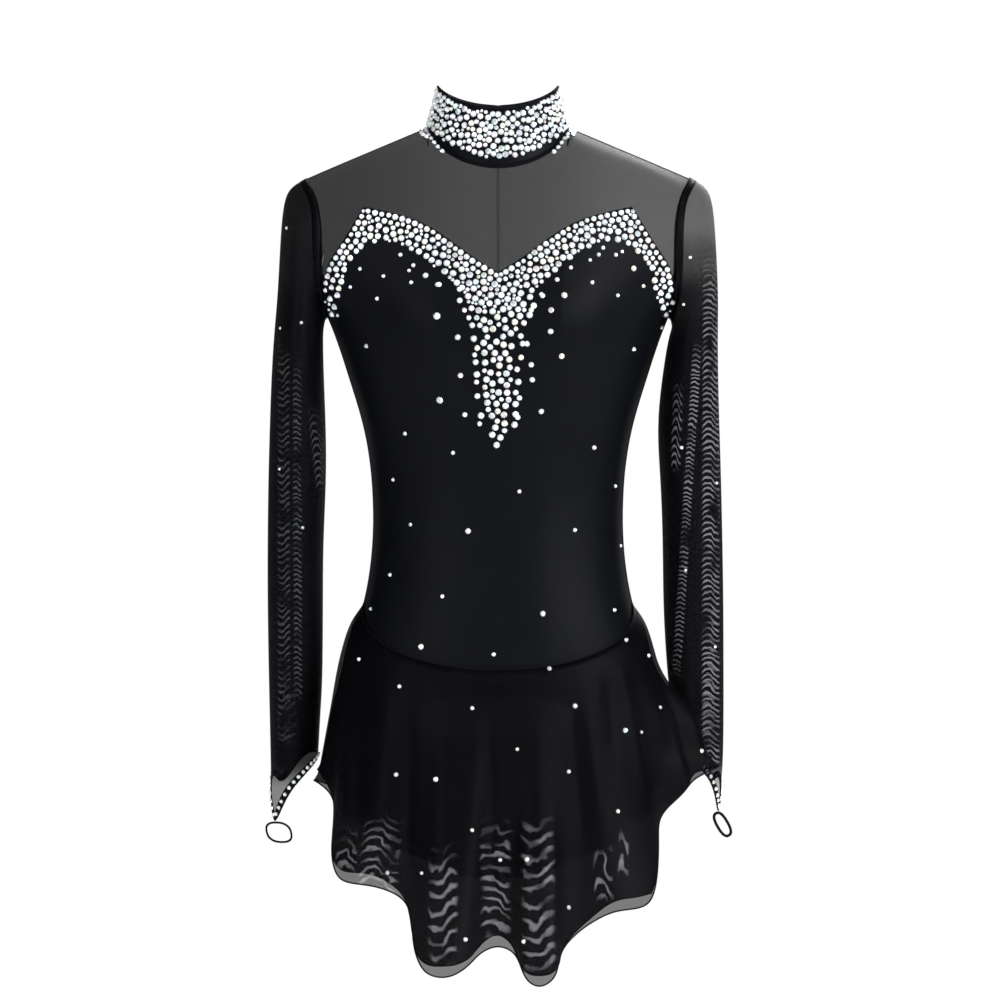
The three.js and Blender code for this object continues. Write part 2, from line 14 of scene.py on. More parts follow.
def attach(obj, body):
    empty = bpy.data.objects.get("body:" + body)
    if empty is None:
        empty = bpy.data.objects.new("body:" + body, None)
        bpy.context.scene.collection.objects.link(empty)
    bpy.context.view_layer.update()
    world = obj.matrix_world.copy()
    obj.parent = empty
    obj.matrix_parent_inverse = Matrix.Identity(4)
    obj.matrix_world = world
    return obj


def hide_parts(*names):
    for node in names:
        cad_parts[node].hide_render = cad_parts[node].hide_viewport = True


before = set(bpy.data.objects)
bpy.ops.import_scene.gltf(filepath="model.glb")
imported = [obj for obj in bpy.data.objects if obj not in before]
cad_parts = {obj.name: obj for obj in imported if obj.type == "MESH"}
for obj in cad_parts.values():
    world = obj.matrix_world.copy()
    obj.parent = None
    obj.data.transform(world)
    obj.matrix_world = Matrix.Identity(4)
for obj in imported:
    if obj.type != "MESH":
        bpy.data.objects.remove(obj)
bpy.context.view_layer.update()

MM = 0.001

# Photo's frame: 0.94 mm of dress to a pixel of the 1000 pixel wide picture
PICTURE_WIDTH = 0.94
PICTURE_CENTRE = Vector((0.0019, 0.0, -0.329))
CAMERA_AWAY = 12.0
SENSOR = 36.0
FLOOR_Z = -1.02
FLOOR_RADIUS = 3.2
ROOM_LIGHT = 0.16

# How the heights of the collar's edges pass from its sides to its front and back
COLLAR_CURVE = 1.4

# Cloth walls
COLLAR_THICK = 0.9 * MM
JERSEY_THICK = 0.7 * MM
DOUBLED_THICK = 0.5 * MM
MESH_THICK = 0.3 * MM

# Reading the solids: a rim is narrower than RIM_WIDTH, points closer than SAME_POINT are one, faces of one side
# turn less than SAME_SIDE, and an open edge that bends below CORNER_ANGLE keeps its corner
RIM_WIDTH = 1.5 * MM
SAME_POINT = 0.02 * MM
SAME_SIDE = 0.45
CORNER_ANGLE = math.radians(128)
SMOOTH_STEPS = 2


def table(columns, *rows):
    """Rows of values under named columns."""
    return [dict(zip(columns.split(), row)) for row in rows]


# Sweetheart edge from the centre line out to the armhole, in millimetres
EDGE = table(
    "x z",
    (0, -117.5), (21, -105), (41, -90), (63, -75), (82, -66), (103, -60.5), (124.5, -55.5), (133, -68),
    (142.5, -85), (154, -101.5), (161, -114), (164.5, -134),
)

# Band of crystals under that edge: distance from the centre line and the band's low edge, in millimetres
BAND = table(
    "x low",
    (0, -156), (22, -147), (36, -133), (51, -119), (63, -110), (72, -102), (95, -89), (108, -88), (120, -91),
    (126, -95), (134, -102), (144, -117), (149, -142), (154, -160), (160, -158), (165, -148),
)

# Drop of crystals under the notch: height and half width, in millimetres
DROP = table(
    "z half",
    (-140, 33), (-150, 28), (-164, 20), (-190, 16), (-226, 15), (-250, 12), (-268, 9), (-279, 6),
)

# Strips of wavy bands, painted pale with the light that shows through where two layers of mesh lie close:
# place across, half width, top and low end, spacing, bend of the bands, lean of the strip and side (-1 front, 1 back);
# lengths in millimetres
SKIRT_BANDS = table(
    "x half top low pitch bend lean side",
    (-106, 18, -622, -700, 9.5, 12, 0.10, -1),
    (-51, 13, -648, -764, 13.5, -9, 0.0, -1),
    (-2, 14, -624, -738, 11, 5, 0.0, -1),
    (36, 15, -620, -768, 14.5, -8, -0.02, -1),
    (96, 9, -636, -704, 19, 14, -0.06, -1),
    (117, 5, -628, -690, 24, 10, 0.0, -1),
    (-141, 10, -634, -678, 11, 9, 0.0, -1),
    (-100, 14, -560, -650, 12, 9, 0.04, 1),
    (-34, 15, -570, -676, 14, -8, 0.0, 1),
    (44, 14, -560, -672, 12.5, 8, 0.02, 1),
    (106, 13, -552, -646, 11, -9, 0.0, 1),
)
SLEEVE_BANDS = table(
    "x half top low pitch bend lean side",
    (-201, 6.0, -170, -560, 6.4, -5, 0.0, -1),
    (-188, 4.0, -196, -520, 5.2, 2.5, 0.0, -1),
    (-172, 7.0, -238, -322, 7.0, 12, -0.10, -1),
    (200, 8.5, -96, -586, 5.5, 5.5, 0.0, -1),
    (187, 4.2, -178, -500, 4.4, 2, 0.062, -1),
    (169, 4.5, -216, -304, 8.0, 9, 0.03, -1),
    (-196, 6.5, -180, -560, 9.4, -4, 0.0, 1),
    (-178, 4.5, -230, -480, 5.4, 3, 0.03, 1),
    (198, 6.0, -160, -560, 9.0, 4, 0.0, 1),
    (180, 4.5, -220, -470, 5.0, -3, -0.03, 1),
)

# The bands at the back, which the photo hides, are fainter
BACK_BAND_SHARE = 0.45

# Single crystals on the front: x and z in millimetres, and size
SCATTER = [
    (-123, -185, 4.4), (127, -188, 4.4), (-42, -285, 4.2), (-87, -267, 4.2), (90, -280, 4.6), (-98, -310, 3.8),
    (20, -321, 4.2), (110, -316, 3.8), (-82, -352, 3.8), (-28, -358, 5.6), (72, -357, 4.2), (115, -372, 3.8),
    (-101, -399, 4), (-52, -419, 4), (42, -435, 5.6), (109, -432, 4), (-119, -431, 4), (-72, -466, 5.6),
    (-4, -473, 4.2), (48, -486, 4.4), (-113, -141, 4), (-81, -126, 4), (-83, -115, 3.6), (-107, -120, 3.8),
    (-129, -113, 3.8), (-138, -130, 3.6), (-150, -156, 3.6), (88, -126, 4), (112, -138, 4), (136, -129, 3.8),
    (86, -105, 3.6), (116, -97, 3.6), (-130, -478, 4), (-92, -503, 4), (120, -460, 4.2), (141, -475, 4),
    (-24, -523, 4.4), (72, -521, 5), (152, -523, 3.6), (119, -544, 5.2), (134, -546, 3.6), (18, -561, 3.6),
    (191, -564, 4.4), (66, -582, 4.2), (-95, -585, 4.4), (-58, -589, 5.2), (112, -619, 4.2), (-24, -636, 3.8),
    (2, -664, 3.8), (27, -663, 4.6), (-103, -676, 3.8), (-71, -676, 3.4), (66, -708, 4.2), (-30, -737, 4.4),
    (24, -739, 4.4), (-198, -74, 3.4), (-184, -163, 3.2), (-204, -168, 3.2), (180, -102, 3.4), (174, -146, 3.2),
    (172, -280, 3.6), (205, -313, 3.4), (204, -467, 3.2), (176, -395, 3), (-205, -300, 3), (-183, -355, 3),
    (-55, -128, 5.4), (-36, -132.5, 5.2), (-57, -157.5, 6.8), (-37.5, -177.5, 5.6), (-35, -213, 5.4),
    (-54.5, -236, 6.8), (-31, -249.5, 5.2), (41.5, -138.5, 5.2), (62, -138, 6.2), (31, -152, 5.4),
    (49.5, -152, 5.8), (49, -172, 5.6), (27, -183.5, 5.6), (59.5, -195, 5.8), (31, -203, 5.4), (32, -217, 5.4),
    (20, -234, 5.4), (40.5, -246.5, 5.4), (18.5, -252, 5.4),
]


# ---------------- reading tables


def between(rows, key, name, at):
    """Value of one column of a table at a place between its rows."""
    rising = rows[-1][key] > rows[0][key]
    order = rows if rising else rows[::-1]
    if at <= order[0][key]:
        return order[0][name]
    for a, b in zip(order, order[1:]):
        if at <= b[key]:
            share = (at - a[key]) / (b[key] - a[key])
            return a[name] + (b[name] - a[name]) * share
    return order[-1][name]


def clamp(value):
    return min(1.0, max(0.0, value))


def ease(value):
    """Smooth step from 0 to 1."""
    share = clamp(value)
    return share * share * (3 - 2 * share)


# ---------------- shader groups


def new_group(name, inputs, outputs):
    """Empty node group with named inputs (name, type, value) and outputs (name, type)."""
    group = bpy.data.node_groups.new(name, "ShaderNodeTree")
    for label, kind, value in inputs:
        socket = group.interface.new_socket(name=label, in_out="INPUT", socket_type=kind)
        if value is not None:
            socket.default_value = value
    for label, kind in outputs:
        group.interface.new_socket(name=label, in_out="OUTPUT", socket_type=kind)
    return group, group.nodes.new("NodeGroupInput"), group.nodes.new("NodeGroupOutput")


def feed(tree, value, socket):
    """Gives a socket a number, a colour, or what another socket puts out."""
    if isinstance(value, bpy.types.NodeSocket):
        tree.links.new(value, socket)
    else:
        socket.default_value = (*value, 1.0) if isinstance(value, tuple) else value


def set_inputs(tree, node, values):
    for name, value in values.items():
        feed(tree, value, node.inputs[name])


def new_node(tree, kind, values):
    """Node with its inputs set by name or place; returns its outputs."""
    node = tree.nodes.new("ShaderNode" + kind)
    set_inputs(tree, node, values)
    return node.outputs


def math_node(tree, operation, a, b=None, clamped=False):
    node = tree.nodes.new("ShaderNodeMath")
    node.operation = operation
    node.use_clamp = clamped
    set_inputs(tree, node, {0: a} if b is None else {0: a, 1: b})
    return node.outputs[0]


def ramp_node(tree, value, low, high):
    """Smooth step of a value from 0 at low to 1 at high."""
    node = tree.nodes.new("ShaderNodeMapRange")
    node.interpolation_type = "SMOOTHSTEP"
    set_inputs(tree, node, {"Value": value, "From Min": low, "From Max": high})
    return node.outputs["Result"]


def noise_node(tree, vector, scale, detail=2.0, distortion=0.0):
    values = {"Vector": vector, "Scale": scale, "Detail": detail, "Distortion": distortion}
    return new_node(tree, "TexNoise", values)["Fac"]


def band_strip_group():
    """One strip of wavy bands, as two layers of fine mesh make where they lie close over each other; the mesh is
    thinned there and painted pale with light.
    """
    sway_across, sway_up = 4 * MM, 24 * MM
    side_fade, band_fade = (0.72, 1.12), (0.05, 0.95)
    top_fade, low_fade = (-4 * MM, 40 * MM), (0.0, 12 * MM)
    wave_turn, wave_high, bow_high = 2.4, 0.45, 0.8
    past_middle = -12 * MM
    names = ("X", "Half", "Top", "Low", "Pitch", "Bend", "Lean", "Side", "Sway", "Patch")
    group, given, made = new_group(
        "band strip",
        [("Vector", "NodeSocketVector", None)] + [(name, "NodeSocketFloat", 0.0) for name in names],
        [("Mask", "NodeSocketFloat")],
    )
    calc = partial(math_node, group)
    value = given.outputs
    x, y, z = new_node(group, "SeparateXYZ", {0: value["Vector"]})
    shift = calc("MULTIPLY", value["Lean"], calc("SUBTRACT", z, value["Top"]))
    across = calc("SUBTRACT", calc("SUBTRACT", x, value["X"]), shift)
    across = calc("ADD", across, calc("MULTIPLY", value["Sway"], sway_across))
    share = calc("DIVIDE", across, value["Half"])
    away = calc("ABSOLUTE", share)
    edge = calc("SUBTRACT", 1.0, ramp_node(group, away, *side_fade))
    wave = calc("SINE", calc("MULTIPLY", share, wave_turn))
    bow = calc("ADD", calc("MULTIPLY", wave, wave_high), calc("MULTIPLY", away, bow_high))
    height = calc("ADD", z, calc("MULTIPLY", bow, value["Bend"]))
    height = calc("ADD", height, calc("MULTIPLY", value["Sway"], sway_up))
    turns = calc("MULTIPLY", calc("DIVIDE", height, value["Pitch"]), math.tau)
    mask = calc("MULTIPLY", ramp_node(group, calc("SINE", turns), *band_fade), edge)
    from_top = ramp_node(group, calc("SUBTRACT", value["Top"], z), *top_fade)
    from_low = ramp_node(group, calc("SUBTRACT", z, value["Low"]), *low_fade)
    facing = calc("GREATER_THAN", calc("MULTIPLY", y, value["Side"]), past_middle)
    for part in (from_top, from_low, facing, value["Patch"]):
        mask = calc("MULTIPLY", mask, part)
    group.links.new(mask, made.inputs["Mask"])
    return group


def knit_group():
    """Fine knitted grid, as a height and as the share of the grid that is yarn."""
    group, given, made = new_group(
        "knit grid",
        [("Vector", "NodeSocketVector", None), ("Pitch", "NodeSocketFloat", 900.0)],
        [("Height", "NodeSocketFloat"), ("Yarn", "NodeSocketFloat")],
    )
    calc = partial(math_node, group)
    x, y, z = new_node(group, "SeparateXYZ", {0: given.outputs["Vector"]})
    across, up = (
        calc("ABSOLUTE", calc("SINE", calc("MULTIPLY", way, given.outputs["Pitch"]))) for way in (calc("ADD", x, y), z)
    )
    height = calc("MAXIMUM", across, up)
    group.links.new(height, made.inputs["Height"])
    group.links.new(ramp_node(group, height, 0.35, 0.9), made.inputs["Yarn"])
    return group


BAND_STRIP = band_strip_group()
KNIT = knit_group()


# ---------------- materials


# Stitches of each knit, as the grid's pitch, and scale of the noise that varies each cloth, the painted light bands and
# the stones' painted sparkle
MESH_STITCH, JERSEY_STITCH, TRIM_STITCH = 2600.0, 3600.0, 4200.0
MESH_BLOTCH, JERSEY_MOTTLE, BUTTON_MOTTLE, STONE_PAINTED_SPARKLE = 26.0, 38.0, 400.0, 700.0
BAND_COARSE, BAND_FINE, BAND_PATCH = 30.0, 105.0, 46.0

MESH_BLACK = (0.0012, 0.0012, 0.0020)
# Pale colour painted on the mesh's bands: painted light, standing in for the backdrop light that shows through two
# close layers
PAINTED_BAND_LIGHT = (0.92, 0.95, 1.0)

# Share of light that one wall of each mesh lets by, at places across (X) or up (Z) in millimetres; on the yoke and the
# sleeves these shares also hold painted light and shade
# The yoke lets more by towards x above 0: painted light, standing in for the key light falling on that side.
YOKE_LETS_BY_AND_PAINTED_LIGHT = ("X", [(-150, 0.22), (0, 0.28), (150, 0.36)])
# The sleeves are one mesh, painted lit and shaded: the left one (x above 0), which the key light falls on, lets more
# by, and the rise up to each sleeve's head is partly fewer layers and partly painted light.
LEFT_SLEEVE_LETS_BY_AND_PAINTED_LIGHT = ("Z", [(-592, 0.40), (-566, 0.05), (-190, 0.03), (-140, 0.09), (-104, 0.25), (-70, 0.38)])
RIGHT_SLEEVE_LETS_BY_AND_PAINTED_SHADE = ("Z", [(-602, 0.24), (-572, 0.03), (-160, 0.025), (-110, 0.07), (-70, 0.09)])
SKIRT_LETS_BY = ("Z", [(-760, 0.22), (-560, 0.15)])
LINING_LETS_BY = ("Z", [(-760, 0.03), (-560, 0.02)])
DOUBLED_LETS_BY = ("X", [(-200, 0.05), (200, 0.09)])


def new_material(name):
    material = bpy.data.materials.new(name)
    material.use_nodes = True
    tree = material.node_tree
    return material, tree, tree.nodes["Principled BSDF"], new_node(tree, "TexCoord", {})["Object"]


def place_group(tree, group, values):
    node = tree.nodes.new("ShaderNodeGroup")
    node.node_tree = group
    set_inputs(tree, node, values)
    return node.outputs


def mix_color(tree, share, first, second, blend="MIX"):
    """Mixes two colours, each a constant or a socket."""
    node = tree.nodes.new("ShaderNodeMix")
    node.data_type = "RGBA"
    node.blend_type = blend
    set_inputs(tree, node, {"Factor": share, "A": first, "B": second})
    return node.outputs["Result"]


def bump_from(tree, height, strength, distance):
    return new_node(tree, "Bump", {"Height": height, "Strength": strength, "Distance": distance})["Normal"]


def band_strips(tree, place, rows, uneven):
    """Greatest of all the strips in a table; uneven is how far the bands stray."""
    calc = partial(math_node, tree)
    fine_share = 0.42
    coarse = calc("SUBTRACT", noise_node(tree, place, BAND_COARSE, 2.0, 0.5), 0.5)
    fine = calc("SUBTRACT", noise_node(tree, place, BAND_FINE, 1.0), 0.5)
    sway = calc("MULTIPLY", calc("ADD", coarse, calc("MULTIPLY", fine, fine_share)), uneven)
    patch = ramp_node(tree, noise_node(tree, place, BAND_PATCH, 1.0), 0.25, 0.60)
    total = None
    for row in rows:
        values = {name.capitalize(): row[name] * MM for name in ("x", "half", "top", "low", "pitch", "bend")}
        values.update({"Vector": place, "Sway": sway, "Patch": patch, "Lean": row["lean"], "Side": row["side"]})
        mask = place_group(tree, BAND_STRIP, values)["Mask"]
        if row["side"] > 0:
            mask = calc("MULTIPLY", mask, BACK_BAND_SHARE)
        total = mask if total is None else calc("MAXIMUM", total, mask)
    return total


def sheer_mesh(name, lets_by, bands=(), band_painted_light=0.0, uneven=1.0):
    """Black power mesh, letting by a share of light that on the yoke and sleeves also holds painted light and shade.
    Its bands have a table, a strength of their painted pale light and a measure of how far they stray.
    """
    material, tree, shader, place = new_material(name)
    calc = partial(math_node, tree)
    knit = place_group(tree, KNIT, {"Vector": place, "Pitch": MESH_STITCH})
    yarn_cover, band_gap, blotch_light = 0.05, 0.10, 1.9
    axis, points = lets_by
    along = new_node(tree, "SeparateXYZ", {0: place})[axis]
    cover = 1.0 - math.sqrt(points[0][1])
    for (from_at, from_share), (to_at, to_share) in zip(points, points[1:]):
        span = ramp_node(tree, along, from_at * MM, to_at * MM)
        cover = calc("ADD", calc("MULTIPLY", span, math.sqrt(from_share) - math.sqrt(to_share)), cover)
    alpha = calc("ADD", cover, calc("MULTIPLY", calc("SUBTRACT", knit["Yarn"], 0.5), yarn_cover), True)
    light = tuple(c * blotch_light for c in MESH_BLACK)
    tint = mix_color(tree, noise_node(tree, place, MESH_BLOTCH, 3.0), MESH_BLACK, light)
    if bands:
        mask = band_strips(tree, place, bands, uneven)
        alpha = calc("SUBTRACT", alpha, calc("MULTIPLY", mask, band_gap), True)
        # Painted light: the bands are tinted towards a pale colour, as the light that shows through two close layers of
        # mesh.
        tint = mix_color(tree, calc("MULTIPLY", mask, band_painted_light), tint, PAINTED_BAND_LIGHT)
    set_inputs(tree, shader, {
        "Base Color": tint, "Alpha": alpha, "Normal": bump_from(tree, knit["Height"], 0.15, 0.2 * MM),
        "Roughness": 0.5, "Sheen Weight": 0.004, "Sheen Roughness": 0.4, "Specular IOR Level": 0.035,
    })
    return material


def stretch_jersey():
    """Opaque black jersey with a soft sheen."""
    material, tree, shader, place = new_material("stretch jersey")
    knit = place_group(tree, KNIT, {"Vector": place, "Pitch": JERSEY_STITCH})
    mottle = noise_node(tree, place, JERSEY_MOTTLE, 3.0)
    rough = math_node(tree, "ADD", math_node(tree, "MULTIPLY", mottle, 0.12), 0.46)
    set_inputs(tree, shader, {
        "Base Color": mix_color(tree, mottle, (0.0011, 0.0013, 0.0022), (0.0022, 0.0026, 0.0040)),
        "Normal": bump_from(tree, knit["Height"], 0.2, 0.15 * MM), "Roughness": rough,
        "Sheen Weight": 0.007, "Sheen Roughness": 0.35, "Specular IOR Level": 0.05,
    })
    return material


def black_trim(name, roughness):
    """Elastic, bindings and rolled hems: close ribbed black yarn."""
    material, tree, shader, place = new_material(name)
    knit = place_group(tree, KNIT, {"Vector": place, "Pitch": TRIM_STITCH})
    set_inputs(tree, shader, {
        "Base Color": mix_color(tree, knit["Yarn"], (0.0012, 0.0012, 0.0018), (0.0045, 0.0045, 0.006)),
        "Normal": bump_from(tree, knit["Height"], 0.35, 0.2 * MM), "Roughness": roughness, "Specular IOR Level": 0.05,
    })
    return material


def button_shell():
    material, tree, shader, place = new_material("button shell")
    mottle = noise_node(tree, place, BUTTON_MOTTLE, 2.0)
    tint = mix_color(tree, mottle, (0.010, 0.010, 0.012), (0.022, 0.022, 0.026))
    set_inputs(tree, shader, {"Base Color": tint, "Roughness": 0.18, "Coat Weight": 0.4})
    return material


def crystal_glass():
    """Foiled crystal: each stone has its own pale tint, and painted tones on its facets and a painted sparkle stand in
    for the light that its facets catch.
    """
    material, tree, shader, place = new_material("crystal")
    tint = tree.nodes.new("ShaderNodeAttribute")
    tint.attribute_name = "tint"
    # Painted sparkle: fine noise from pale grey to white, standing in for glints on the stones.
    painted_sparkle = mix_color(tree, noise_node(tree, place, STONE_PAINTED_SPARKLE, 1.0), (0.80, 0.84, 0.90), (1.0, 1.0, 1.0))
    shade = mix_color(tree, 0.25, tint.outputs["Color"], painted_sparkle, "MULTIPLY")
    # Painted glow: a faint emission lights the stones as if they shone.
    set_inputs(tree, shader, {
        "Base Color": shade, "Emission Color": shade, "Emission Strength": 0.12, "Roughness": 0.16, "IOR": 1.6,
        "Coat Weight": 1.0, "Coat Roughness": 0.04,
    })
    return material


YOKE_MESH = sheer_mesh("yoke mesh with painted light", YOKE_LETS_BY_AND_PAINTED_LIGHT)
# The left sleeve's bands get more painted light than the right one's, as the key light falls on its side.
SLEEVE_MESH = {
    "sleeve_left": sheer_mesh("left sleeve mesh with painted light", LEFT_SLEEVE_LETS_BY_AND_PAINTED_LIGHT, SLEEVE_BANDS, 0.15, 0.35),
    "sleeve_right": sheer_mesh("right sleeve mesh with painted shade", RIGHT_SLEEVE_LETS_BY_AND_PAINTED_SHADE, SLEEVE_BANDS, 0.05, 0.45),
}
SKIRT_MESH = sheer_mesh("skirt mesh", SKIRT_LETS_BY, SKIRT_BANDS, 0.18)
LINING_MESH = sheer_mesh("skirt lining mesh", LINING_LETS_BY)
DOUBLED_MESH = sheer_mesh("doubled mesh", DOUBLED_LETS_BY)
JERSEY = stretch_jersey()
TRIM = black_trim("black trim", 0.7)
ELASTIC = black_trim("black elastic", 0.55)
CRYSTAL = crystal_glass()
BUTTON = button_shell()


# ---------------- cloth from the solids


def merged_solid(node):
    """A solid's mesh, with its loose triangles joined at their points."""
    bm = bmesh.new()
    bm.from_mesh(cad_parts[node].data)
    bmesh.ops.remove_doubles(bm, verts=bm.verts, dist=SAME_POINT)
    return bm


def outer_face_of(node):
    """The outer face of a cloth wall, as an open sheet: the side that looks away from the piece's middle."""
    bm = merged_solid(node)
    middle = sum((v.co for v in bm.verts), Vector()) / len(bm.verts)
    seen = {f for f in bm.faces if min(e.calc_length() for e in f.edges) < RIM_WIDTH}
    best, best_score = [], -math.inf
    for start in bm.faces:
        if start in seen:
            continue
        seen.add(start)
        side, queue = [], [start]
        while queue:
            face = queue.pop()
            side.append(face)
            for other in (f for edge in face.edges for f in edge.link_faces):
                if other not in seen and face.normal.dot(other.normal) > SAME_SIDE:
                    seen.add(other)
                    queue.append(other)
        score = sum(f.calc_area() * f.normal.dot((f.calc_center_median() - middle).normalized()) for f in side)
        if score > best_score:
            best, best_score = side, score
    keep = set(best)
    bmesh.ops.delete(bm, geom=[f for f in bm.faces if f not in keep], context="FACES")
    bmesh.ops.join_triangles(
        bm, faces=bm.faces, angle_face_threshold=0.9, angle_shape_threshold=1.2, topology_influence=1.0
    )
    return bm


def whole_solid(node):
    bm = merged_solid(node)
    bmesh.ops.join_triangles(bm, faces=bm.faces, angle_face_threshold=0.7, angle_shape_threshold=0.9)
    return bm


def shade(data, smooth=True):
    for polygon in data.polygons:
        polygon.use_smooth = smooth


def new_piece(name, bm, material, smooth=True):
    data = bpy.data.meshes.new(name)
    bm.to_mesh(data)
    bm.free()
    data.materials.append(material)
    shade(data, smooth)
    piece = bpy.data.objects.new(name, data)
    bpy.context.scene.collection.objects.link(piece)
    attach(piece, "root")
    return piece


def settled(piece):
    """Applies the piece's modifiers and returns its mesh in a bmesh."""
    graph = bpy.context.evaluated_depsgraph_get()
    data = bpy.data.meshes.new_from_object(piece.evaluated_get(graph))
    bm = bmesh.new()
    bm.from_mesh(data)
    bpy.data.meshes.remove(data)
    return bm


def keep_corners(bm):
    """Marks the sharp corners of a sheet's open edge, so that rounding leaves the points of cuffs and collar."""
    crease = bm.verts.layers.float.new("crease_vert")
    for vert in bm.verts:
        ends = [e.other_vert(vert).co - vert.co for e in vert.link_edges if e.is_boundary]
        if len(ends) == 2 and ends[0].angle(ends[1]) < CORNER_ANGLE:
            vert[crease] = 1.0


def smoothed(name, bm, material, steps=SMOOTH_STEPS):
    """Sheet with its facets rounded into smooth cloth."""
    keep_corners(bm)
    piece = new_piece(name, bm, material)
    round_off = piece.modifiers.new("round", "SUBSURF")
    round_off.levels = round_off.render_levels = steps
    fine = settled(piece)
    piece.modifiers.clear()
    fine.to_mesh(piece.data)
    fine.free()
    shade(piece.data)
    return piece


def reshape(piece, shift):
    """Moves each point of a sheet by shift(place, normal), in metres."""
    bm = bmesh.new()
    bm.from_mesh(piece.data)
    bm.normal_update()
    for vert in bm.verts:
        vert.co += shift(vert.co, vert.normal)
    bm.to_mesh(piece.data)
    bm.free()


def press_creases(piece, creases):
    """Soft troughs (depth below 0) and ridges, along lines seen from the front or back: side (-1 front, 1 back),
    start and end (x, z), width and depth, in millimetres."""
    beyond = 0.1

    def shift(place, normal):
        flat = Vector((place.x, place.z)) / MM
        move = 0.0
        for side, start, end, width, depth in creases:
            facing = normal.y * side
            if facing <= 0:
                continue
            along = Vector(end) - Vector(start)
            share = (flat - Vector(start)).dot(along) / along.length_squared
            if not -beyond < share < 1 + beyond:
                continue
            away = (flat - Vector(start) - along * share).length / width
            if away < 3:
                fade = math.sin(math.pi * (share + beyond) / (1 + 2 * beyond)) ** 0.8
                move += depth * fade * math.exp(-away * away) * min(1.0, 1.6 * facing)
        return normal * move * MM

    reshape(piece, shift)


def edge_loops(piece):
    """Open edges of a sheet as ordered lists of (point, direction into the cloth, normal), lowest edge first."""
    bm = bmesh.new()
    bm.from_mesh(piece.data)
    bm.normal_update()
    todo = {v.index: v for v in bm.verts if v.is_boundary}
    loops = []
    while todo:
        chain = [todo.pop(min(todo))]
        while True:
            step = [e.other_vert(chain[-1]) for e in chain[-1].link_edges if e.is_boundary]
            step = [v for v in step if v.index in todo]
            if not step:
                break
            chain.append(todo.pop(step[0].index))
        loop = []
        for i, vert in enumerate(chain):
            along = (chain[(i + 1) % len(chain)].co - chain[i - 1].co).normalized()
            inside = sum((f.calc_center_median() - vert.co for f in vert.link_faces), Vector())
            inside -= along * inside.dot(along)
            loop.append((vert.co.copy(), inside.normalized(), vert.normal.copy()))
        loops.append(loop)
    bm.free()
    loops.sort(key=lambda loop: sum(p.z for p, _, _ in loop) / len(loop))
    return loops


def points_of(loop):
    return [point for point, _, _ in loop]


def finder_of(points):
    """Finds the nearest of some points."""
    tree = KDTree(len(points))
    for i, point in enumerate(points):
        tree.insert(point, i)
    tree.balance()
    return tree


def cord_along(name, points, radius, material, closed, steps=2):
    """Round cord or rolled edge along a line of points."""
    curve = bpy.data.curves.new(name, "CURVE")
    curve.dimensions = "3D"
    curve.bevel_depth = radius
    curve.bevel_resolution = steps
    curve.use_fill_caps = not closed
    spline = curve.splines.new("POLY")
    spline.points.add(len(points) - 1)
    for target, point in zip(spline.points, points):
        target.co = (*point, 1.0)
    spline.use_cyclic_u = closed
    holder = bpy.data.objects.new(name + "_line", curve)
    bpy.context.scene.collection.objects.link(holder)
    bm = settled(holder)
    bpy.data.objects.remove(holder)
    bmesh.ops.remove_doubles(bm, verts=bm.verts, dist=1e-6)
    bmesh.ops.recalc_face_normals(bm, faces=bm.faces)
    return new_piece(name, bm, material)


def ribbon_along(name, loop, wide, lift, material):
    """Flat strip of doubled cloth beside a closed edge, on the outside of the sheet."""
    bm = bmesh.new()
    rail = [bm.verts.new(p + n * lift) for p, _, n in loop]
    edges = [bm.edges.new(pair) for pair in zip(rail, rail[1:] + rail[:1])]
    grown = bmesh.ops.extrude_edge_only(bm, edges=edges)
    inward = {tuple(round(c, 7) for c in v.co): d for v, (_, d, _) in zip(rail, loop)}
    for vert in (g for g in grown["geom"] if isinstance(g, bmesh.types.BMVert)):
        vert.co += inward[tuple(round(c, 7) for c in vert.co)] * wide
    bmesh.ops.recalc_face_normals(bm, faces=bm.faces)
    piece = new_piece(name, bm, material)
    wall = piece.modifiers.new("doubled cloth", "SOLIDIFY")
    wall.thickness = DOUBLED_THICK
    wall.offset = 0.0
    return piece


def tree_of(*pieces):
    """Surface to find places on, from several pieces."""
    bm = bmesh.new()
    for piece in pieces:
        bm.from_mesh(piece.data)
    found = BVHTree.FromBMesh(bm)
    bm.free()
    return found


# ---------------- panels


def make_panel(node, kind, cloth, thick):
    """Smooth cloth in place of a solid, with a thin wall of its own."""
    piece = smoothed(f"{node}_{kind}", outer_face_of(node), cloth)
    wall = piece.modifiers.new("cloth thickness", "SOLIDIFY")
    wall.thickness = thick
    wall.offset = -1.0
    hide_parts(node)
    return piece


def make_yokes():
    nodes = ("yoke_front", "yoke_back_left", "yoke_back_right")
    return [make_panel(node, "mesh", YOKE_MESH, MESH_THICK) for node in nodes]


